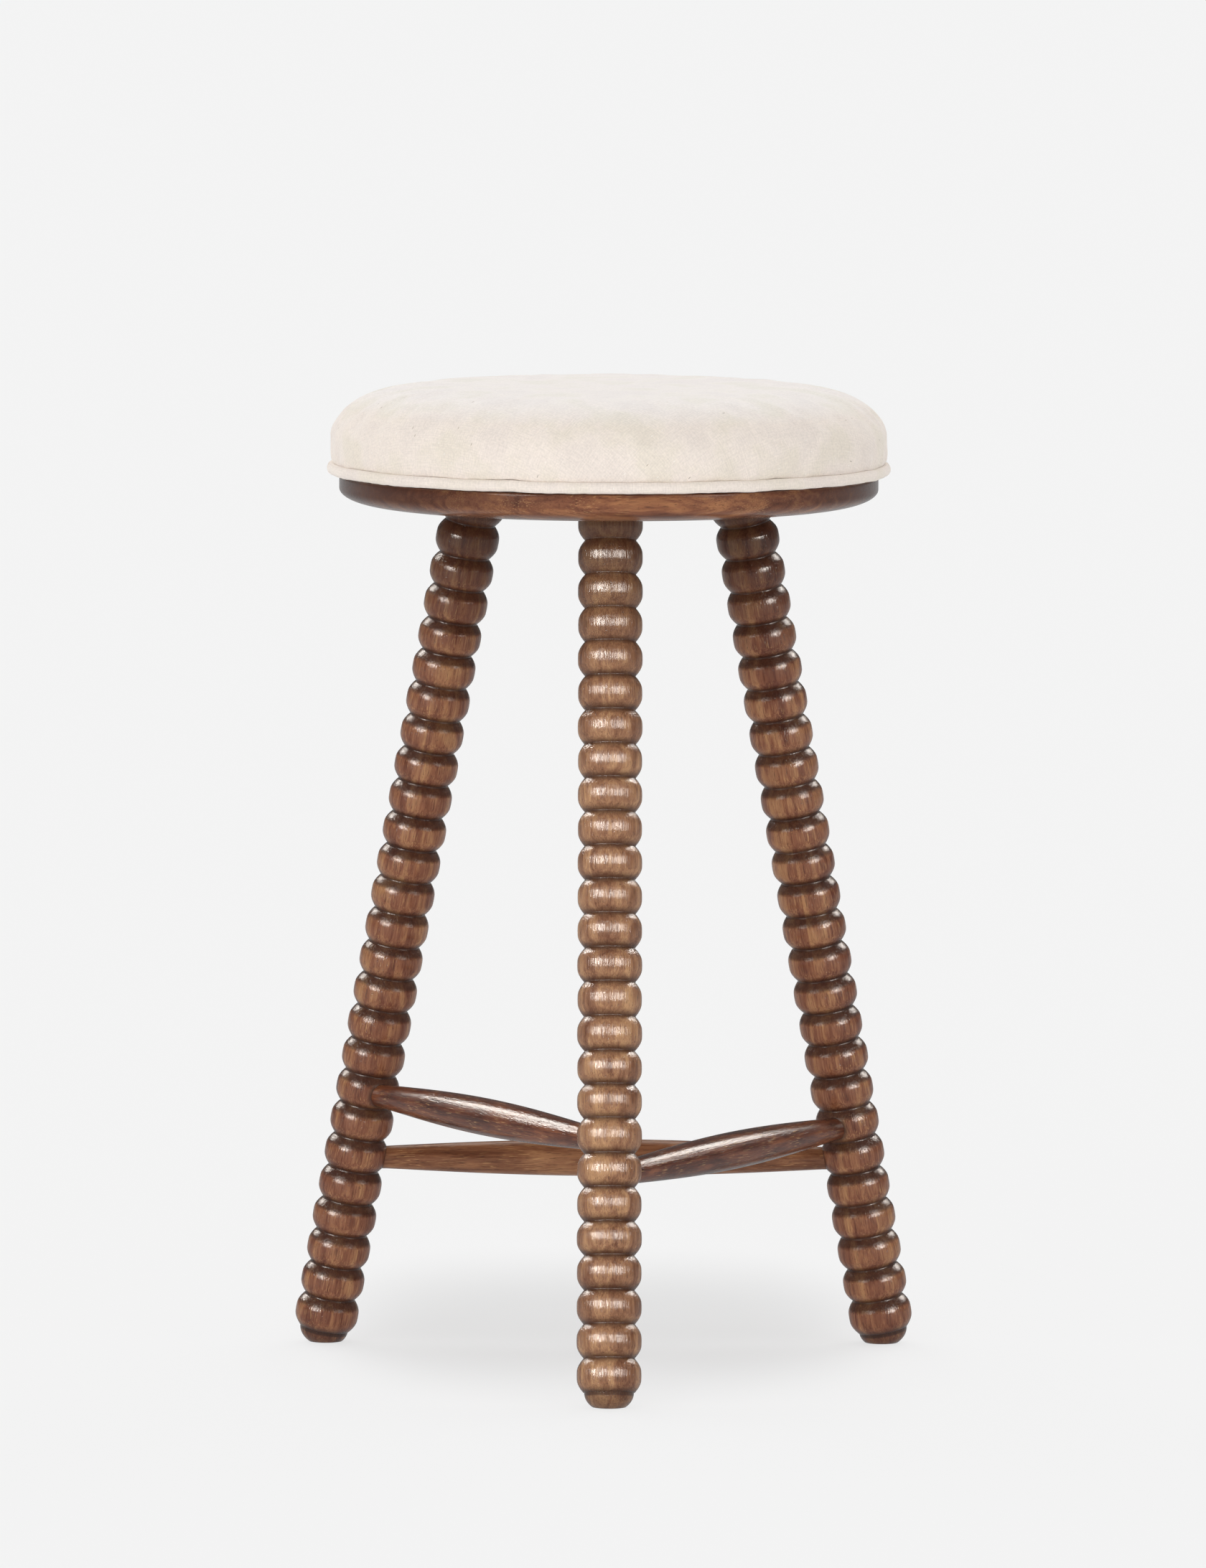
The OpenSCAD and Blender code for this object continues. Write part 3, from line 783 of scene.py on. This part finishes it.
def cover_outline():
    """The cover's outside, from its hem under the board to the crown."""
    low_r = PAD_R - SIDE_DRAW
    tuck_z = SEAM_Z - TUCK_DROP
    outline = [(HEM_IN_R, HEM_Z), (WRAP_R - HEM_FOLD_W, HEM_Z), (WRAP_R, HEM_Z),
               (WRAP_R, HEM_Z + HEM_FOLD_H), (WRAP_R, tuck_z)]
    for a in quarter(TUCK_STEPS):
        outline.append((low_r - TUCK_R * (1 - math.sin(a)), tuck_z + TUCK_R * (1 - math.cos(a))))
    for i in range(1, FILL_STEPS + 1):
        share = i / FILL_STEPS
        z = tuck_z + TUCK_R + (SEAM_Z + SIDE_FILL_H - tuck_z - TUCK_R) * share
        outline.append((PAD_R - SIDE_DRAW * (1 - share) ** 2, z))
    for a in quarter(DOME_STEPS):
        outline.append((PAD_R * max(math.cos(a), 0) ** (2 / CROWN_POWER),
                        PAD_SIDE_Z + DOME_H * math.sin(a) ** (2 / SHOULDER_POWER)))
    return outline


def seam_wave(point):
    """How far the seam wanders up or down at a point of the seat."""
    heading = Vector((point[0], point[1] - AXIS_Y)).normalized()
    rise = 0
    for tight, layer, share in SEAM_WAVES:
        rise += share * noise.noise(Vector((heading.x * tight, heading.y * tight, layer)))
    return WELT_WAVE * rise


def swell(cover, ring, outward):
    """The linen is cut a little large and held at its seam, so that as the pad swells it puckers.
    Only the puckers are kept: each ring of the pad stays at its own mean size, and nothing rises
    above the crown."""
    start = coordinates(cover)
    uneven = [START_UNEVEN * noise.noise(Vector(point) * START_WAVES_PER_M)
              for point in start]
    held = start[:, 2] < SEAM_Z + SEAM_HOLD_H
    begun = start + outward * numpy.where(held, 0, uneven)[:, None]
    cover.data.vertices.foreach_set("co", begun.ravel())
    group = cover.vertex_groups.new(name="held")
    group.add(numpy.flatnonzero(held).tolist(), 1, "REPLACE")
    cloth = cover.modifiers.new("cloth", "CLOTH").settings
    cloth.quality = 5
    cloth.mass = 0.3
    cloth.tension_stiffness = 20
    cloth.compression_stiffness = 20
    cloth.shear_stiffness = 8
    cloth.bending_stiffness = 0.3
    cloth.use_pressure = True
    cloth.uniform_pressure_force = SWELL_PRESSURE
    cloth.shrink_min = -CLOTH_EASE
    cloth.vertex_group_mass = group.name
    cloth.effector_weights.gravity = 0
    for number in range(1, SWELL_FRAMES + 1):
        bpy.context.scene.frame_set(number)
    settle(cover)
    bpy.context.scene.frame_set(1)
    moved = ((coordinates(cover) - start) * outward).sum(axis=1)
    count = numpy.bincount(ring)
    mean = numpy.bincount(ring, moved) / numpy.maximum(count, 1)
    room = numpy.minimum(PUCKER_MOST, CROWN_Z - start[:, 2])
    pucker = numpy.clip(moved - mean[ring], -PUCKER_MOST, room)
    cover.data.vertices.foreach_set("co", (start + outward * pucker[:, None]).ravel())
    cover.data.update()


def linen_cover():
    """The cover, drawn over the pad and in at its seam, with its threads laid out flat."""
    outline = numpy.array(cover_outline())
    bm = spun([tuple(step) for step in outline], COVER_STEPS)
    bm.transform(SEAT)
    cover = object_from(bm, "linen_cover")
    points = coordinates(cover)
    across = points[:, :2] - (0, AXIS_Y)
    out = numpy.hypot(across[:, 0], across[:, 1])
    heading = across / numpy.maximum(out, 1e-9)[:, None]
    apart = (out[:, None] - outline[:, 0]) ** 2 + (points[:, 2:] - outline[:, 1]) ** 2
    ring = apart.argmin(axis=1)
    along = numpy.gradient(outline, axis=0)
    normal = numpy.stack([along[:, 1], -along[:, 0]], axis=1)
    normal /= numpy.linalg.norm(normal, axis=1)[:, None]
    outward = numpy.column_stack([heading * normal[ring, :1], normal[ring, 1]])
    outward[out < 1e-6] = (0, 0, 1)
    swell(cover, ring, outward)
    points = coordinates(cover)
    near = between(points[:, 2], SEAM_Z + WAVE_FADE_H, SEAM_Z)
    points[:, 2] += near * [seam_wave(point) for point in points]
    cover.data.vertices.foreach_set("co", points.ravel())

    # The cloth's own plane, in metres from the crown, its threads turned as the photo shows them
    steps = numpy.hypot(*numpy.diff(outline, axis=0).T)
    length = numpy.append(steps[::-1].cumsum()[::-1], 0)
    turn = numpy.array(Matrix.Rotation(THREAD_TURN, 2))
    flat = (heading * length[ring, None]) @ turn.T
    corners = numpy.empty(len(cover.data.loops), dtype=int)
    cover.data.loops.foreach_get("vertex_index", corners)
    uv = cover.data.uv_layers.new(name="cloth")
    uv.data.foreach_set("uv", flat[corners].ravel())

    # Painted light: how far each point faces up, for the cloth's paler, cooler top
    crown = cover.data.attributes.new("crown", "FLOAT", "POINT")
    crown.data.foreach_set("value", between(outward[:, 2], *PAINTED_TOP_LIGHT))

    wall = cover.modifiers.new("cloth", "SOLIDIFY")
    wall.thickness = COVER_T
    wall.offset = -1
    settle(cover)
    finish_piece(cover, linen_cloth, ["seat_cover"])


def linen_welt():
    """Cloth sewn round a cord, its flange under the board; it waves a little where it is eased."""
    low = FLANGE_Z - WELT_Z
    high = low + WELT_FLANGE_T
    start = math.atan2(low, -math.sqrt(WELT_R ** 2 - low ** 2)) + TURN
    end = math.atan2(high, -math.sqrt(WELT_R ** 2 - high ** 2)) + 2 * TURN
    outline = [(FLANGE_IN_R, FLANGE_Z)]
    for i in range(WELT_SIDES + 1):
        a = start + (end - start) * i / WELT_SIDES
        outline.append((WELT_RING_R + WELT_R * math.cos(a), WELT_Z + WELT_R * math.sin(a)))
    outline.append((FLANGE_IN_R, FLANGE_Z + WELT_FLANGE_T))
    bm = spun(outline, WELT_STEPS, closed=True)
    round_cord = []
    for i in range(CORD_SIDES):
        a = TURN * i / CORD_SIDES
        round_cord.append((WELT_RING_R + WELT_CORD_R * math.cos(a),
                           WELT_Z + WELT_CORD_R * math.sin(a)))
    tunnel = spun(round_cord, WELT_STEPS // 2, closed=True)
    bmesh.ops.reverse_faces(tunnel, faces=tunnel.faces)
    inside = bpy.data.meshes.new("cord_tunnel")
    tunnel.to_mesh(inside)
    tunnel.free()
    bm.transform(SEAT)
    for point in bm.verts:
        away = (point.co - SEAT_MIDDLE).xy.length
        out = (away - WRAP_R) / (WELT_RING_R + WELT_R - WRAP_R)
        if out > 0:
            point.co.z += min(out, 1) * seam_wave(point.co)
    inside.transform(SEAT)
    bm.from_mesh(inside)
    welt = object_from(bm, "linen_welt")
    uv = welt.data.uv_layers.new(name="cloth")
    for face in welt.data.polygons:
        middle = face.center - SEAT_MIDDLE
        turn = math.atan2(middle.y, middle.x)
        for index in face.loop_indices:
            point = welt.data.vertices[welt.data.loops[index].vertex_index].co - SEAT_MIDDLE
            around = math.atan2(point.y, point.x)
            around += TURN * round((turn - around) / TURN)
            section = math.atan2(point.z - WELT_Z, point.xy.length - WELT_RING_R) * WELT_R
            uv.data[index].uv = (around * WELT_RING_R, section)
    finish_piece(welt, linen_cloth, ["welt_cover"])


linen_cover()
linen_welt()

# The frame's own pieces keep their shapes and get real finishes
NODE_MATERIALS = {
    "tenon_wedges": bare_wood, "seat_board": plywood, "foam_pad": foam, "batting": wadding,
    "welt_cord": cotton, "glide_nails": steel, "cover_staples": steel, "welt_staples": steel,
    "pad_screws": steel, "pad_screw_washers": steel, "glide_front": nylon,
    "glide_rear_left": nylon, "glide_rear_right": nylon,
}
for name, material in NODE_MATERIALS.items():
    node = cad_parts[name]
    node.data.materials.clear()
    node.data.materials.append(material)


# Floor, light and camera

def studio_floor():
    """A wide pale floor. The camera sees its lit paint mixed with its own tone, which has a soft
    oval of shade between the rear feet as in the photo, and it is darker in reflections. Seen
    from below it is clear, so that the stool's underside shows."""
    bm = bmesh.new()
    bmesh.ops.create_grid(bm, x_segments=1, y_segments=1, size=FLOOR_SIZE / 2)
    floor = object_from(bm, "studio_floor")
    material = bpy.data.materials.new("painted_studio_floor")
    material.use_nodes = True
    tree = material.node_tree
    tree.nodes.remove(tree.nodes["Principled BSDF"])
    lit = add(tree, "BsdfDiffuse", {"Color": linear(FLOOR_PAINT)}).outputs[0]
    path = add(tree, "LightPath").outputs
    own_light = add(tree, "MapRange", {"Value": path["Is Camera Ray"],
                                       "To Min": FLOOR_IN_SHEEN}).outputs[0]
    oval = add(tree, "Mapping", {"Vector": add(tree, "TexCoord").outputs["Object"],
                                 "Location": (0, -SHADE_Y / SHADE_D, 0),
                                 "Scale": (1 / SHADE_W, 1 / SHADE_D, 0)}).outputs[0]
    across = add(tree, "SeparateXYZ", {0: oval}).outputs
    wide = add(tree, "Math", {0: across["X"], 1: SHADE_POWER}, operation="POWER").outputs[0]
    away = add(tree, "Math", {0: across["Y"], 1: across["Y"], 2: wide},
               operation="MULTIPLY_ADD").outputs[0]
    away = add(tree, "Math", {0: away}, operation="SQRT").outputs[0]
    edge = add(tree, "MapRange", {"Value": away, "From Min": 0.2, "From Max": 1.05},
               interpolation_type="SMOOTHSTEP").outputs[0]
    shade = add(tree, "Mix", {0: edge, 6: linear(SHADE), 7: linear(BACKGROUND)},
                data_type="RGBA").outputs[2]
    tone = add(tree, "Emission", {"Color": shade, "Strength": own_light}).outputs[0]
    far = add(tree, "MapRange", {"Value": away, "From Min": 0.3, "From Max": 1.5,
                                 "To Min": 0.7, "To Max": 0.92}).outputs[0]
    share = add(tree, "Math", {0: far, 1: path["Is Camera Ray"]}, operation="MULTIPLY").outputs[0]
    share = add(tree, "Math", {0: share, 1: path["Is Glossy Ray"]}, operation="MAXIMUM").outputs[0]
    above = add(tree, "MixShader", {0: share, 1: lit, 2: tone}).outputs[0]
    under = add(tree, "Math", {0: add(tree, "NewGeometry").outputs["Backfacing"],
                               1: path["Is Camera Ray"]}, operation="MULTIPLY").outputs[0]
    clear = add(tree, "BsdfTransparent").outputs[0]
    surface = add(tree, "MixShader", {0: under, 1: above, 2: clear}).outputs[0]
    tree.links.new(surface, tree.nodes["Material Output"].inputs["Surface"])
    floor.data.materials.append(material)


def studio_world():
    """A dim room; the camera sees the backdrop's own tone instead of it."""
    world = bpy.data.worlds.new("soft_studio")
    bpy.context.scene.world = world
    world.use_nodes = True
    tree = world.node_tree
    room = tree.nodes["Background"]
    room.inputs["Color"].default_value = linear("ffffff")
    room.inputs["Strength"].default_value = ROOM_LIGHT
    backdrop = add(tree, "Background", {"Color": linear(BACKGROUND), "Strength": 1}).outputs[0]
    path = add(tree, "LightPath").outputs
    both = add(tree, "MixShader", {0: path["Is Camera Ray"], 1: room.outputs[0], 2: backdrop})
    tree.links.new(both.outputs[0], tree.nodes["World Output"].inputs["Surface"])


def lamp(name, azimuth, elevation, strength, spread):
    """A soft sun at an azimuth right of the front and a height above the horizon, in degrees. It
    lights the stool but doesn't show in its lacquer."""
    data = bpy.data.lights.new(name, "SUN")
    data.energy = strength
    data.angle = math.radians(spread)
    made = bpy.data.objects.new(name, data)
    bpy.context.scene.collection.objects.link(made)
    a = math.radians(azimuth)
    e = math.radians(elevation)
    towards = Vector((math.sin(a) * math.cos(e), -math.cos(a) * math.cos(e), math.sin(e)))
    made.rotation_euler = towards.to_track_quat("Z", "Y").to_euler()
    made.visible_glossy = False
    return made


def sheen(name, azimuth, elevation, strength, spread, only=None):
    """A small sun that shows only as the sheen on the lacquer, or, where black cards would shade
    the rest, on that of one piece."""
    made = lamp(name, azimuth, elevation, strength, spread)
    made.data.color = linear(SHEEN_TINT)[:3]
    made.visible_diffuse = False
    made.visible_glossy = True
    if only:
        lit = bpy.data.collections.new(name)
        lit.objects.link(bpy.data.objects[only])
        made.light_linking.receiver_collection = lit


def photo_camera():
    """A long lens almost 10 m in front of the seat and 0.65 m above it."""
    data = bpy.data.cameras.new("photo_camera")
    data.lens = LENS
    data.sensor_width = SENSOR
    data.clip_start = 0.1
    data.clip_end = 300
    camera = bpy.data.objects.new("photo_camera", data)
    bpy.context.scene.collection.objects.link(camera)
    round_seat = Matrix.Rotation(math.radians(CAMERA_ROUND), 4, "Z")
    tilt = Matrix.Rotation(math.radians(90 - CAMERA_DROP), 4, "X")
    roll = Matrix.Rotation(math.radians(CAMERA_ROLL), 4, "Z")
    camera.matrix_world = SEAT @ round_seat @ Matrix.Translation(CAMERA_PLACE) @ tilt @ roll
    bpy.context.scene.camera = camera


studio_floor()
studio_world()
lamp("key_left", -44, 28, 0.78, 60)
lamp("key_right", 46, 28, 0.68, 60)
lamp("rim_left", -133, 28, 1.05, 60)
lamp("rim_right", 133, 28, 1, 60)
lamp("back", 180, 45, 0.82, 60)
lamp("front_fill", -15, 5, 1.42, 60)
lamp("top", 0, 88, 0.4, 50)
sheen("sheen_left", -43, 16, 0.6, 22)
sheen("sheen_right", 45, 16, 0.5, 24)
sheen("sheen_rim_left", -138, 32, 0.5, 15)
sheen("sheen_rim_right", 138, 32, 0.45, 15)
sheen("sheen_back", 180, 52, 0.2, 26)
for azimuth, elevation, strength in ((-66, 16, 0.35), (-42, 17, 2.1), (-38, 36, 0.45),
                                     (-22, 16, 0.35), (2, 16, 0.15), (24, 17, 1.45),
                                     (30, 36, 0.35), (45, 16, 0.5)):
    sheen("sheen_front_leg", azimuth, elevation, strength, 17, "turned_leg_front")
for azimuth in (-138, 138):
    sheen("sheen_front_corner", azimuth, 32, 0.7, 10, "turned_leg_front")
for side, way in (("left", -1), ("right", 1)):
    for elevation, strength in ((4, 1), (18, 1.5), (32, 0.7)):
        sheen("sheen_rear_leg", 43 * way, elevation, strength, 20, "turned_leg_rear_" + side)
    sheen("sheen_rear_shoulder", 136 * way, 31, 0.25, 12, "turned_leg_rear_" + side)
for side, way, strength in (("left", -1, 0.85), ("right", 1, 0.35)):
    sheen("sheen_spindle_line", 119 * way, 24, 0.4 * strength, 9, "spindle_" + side)
    sheen("sheen_spindle", 117 * way, 28, 0.15 * strength, 30, "spindle_" + side)
photo_camera()
bpy.context.scene.view_settings.view_transform = "Standard"

bpy.context.view_layer.update()
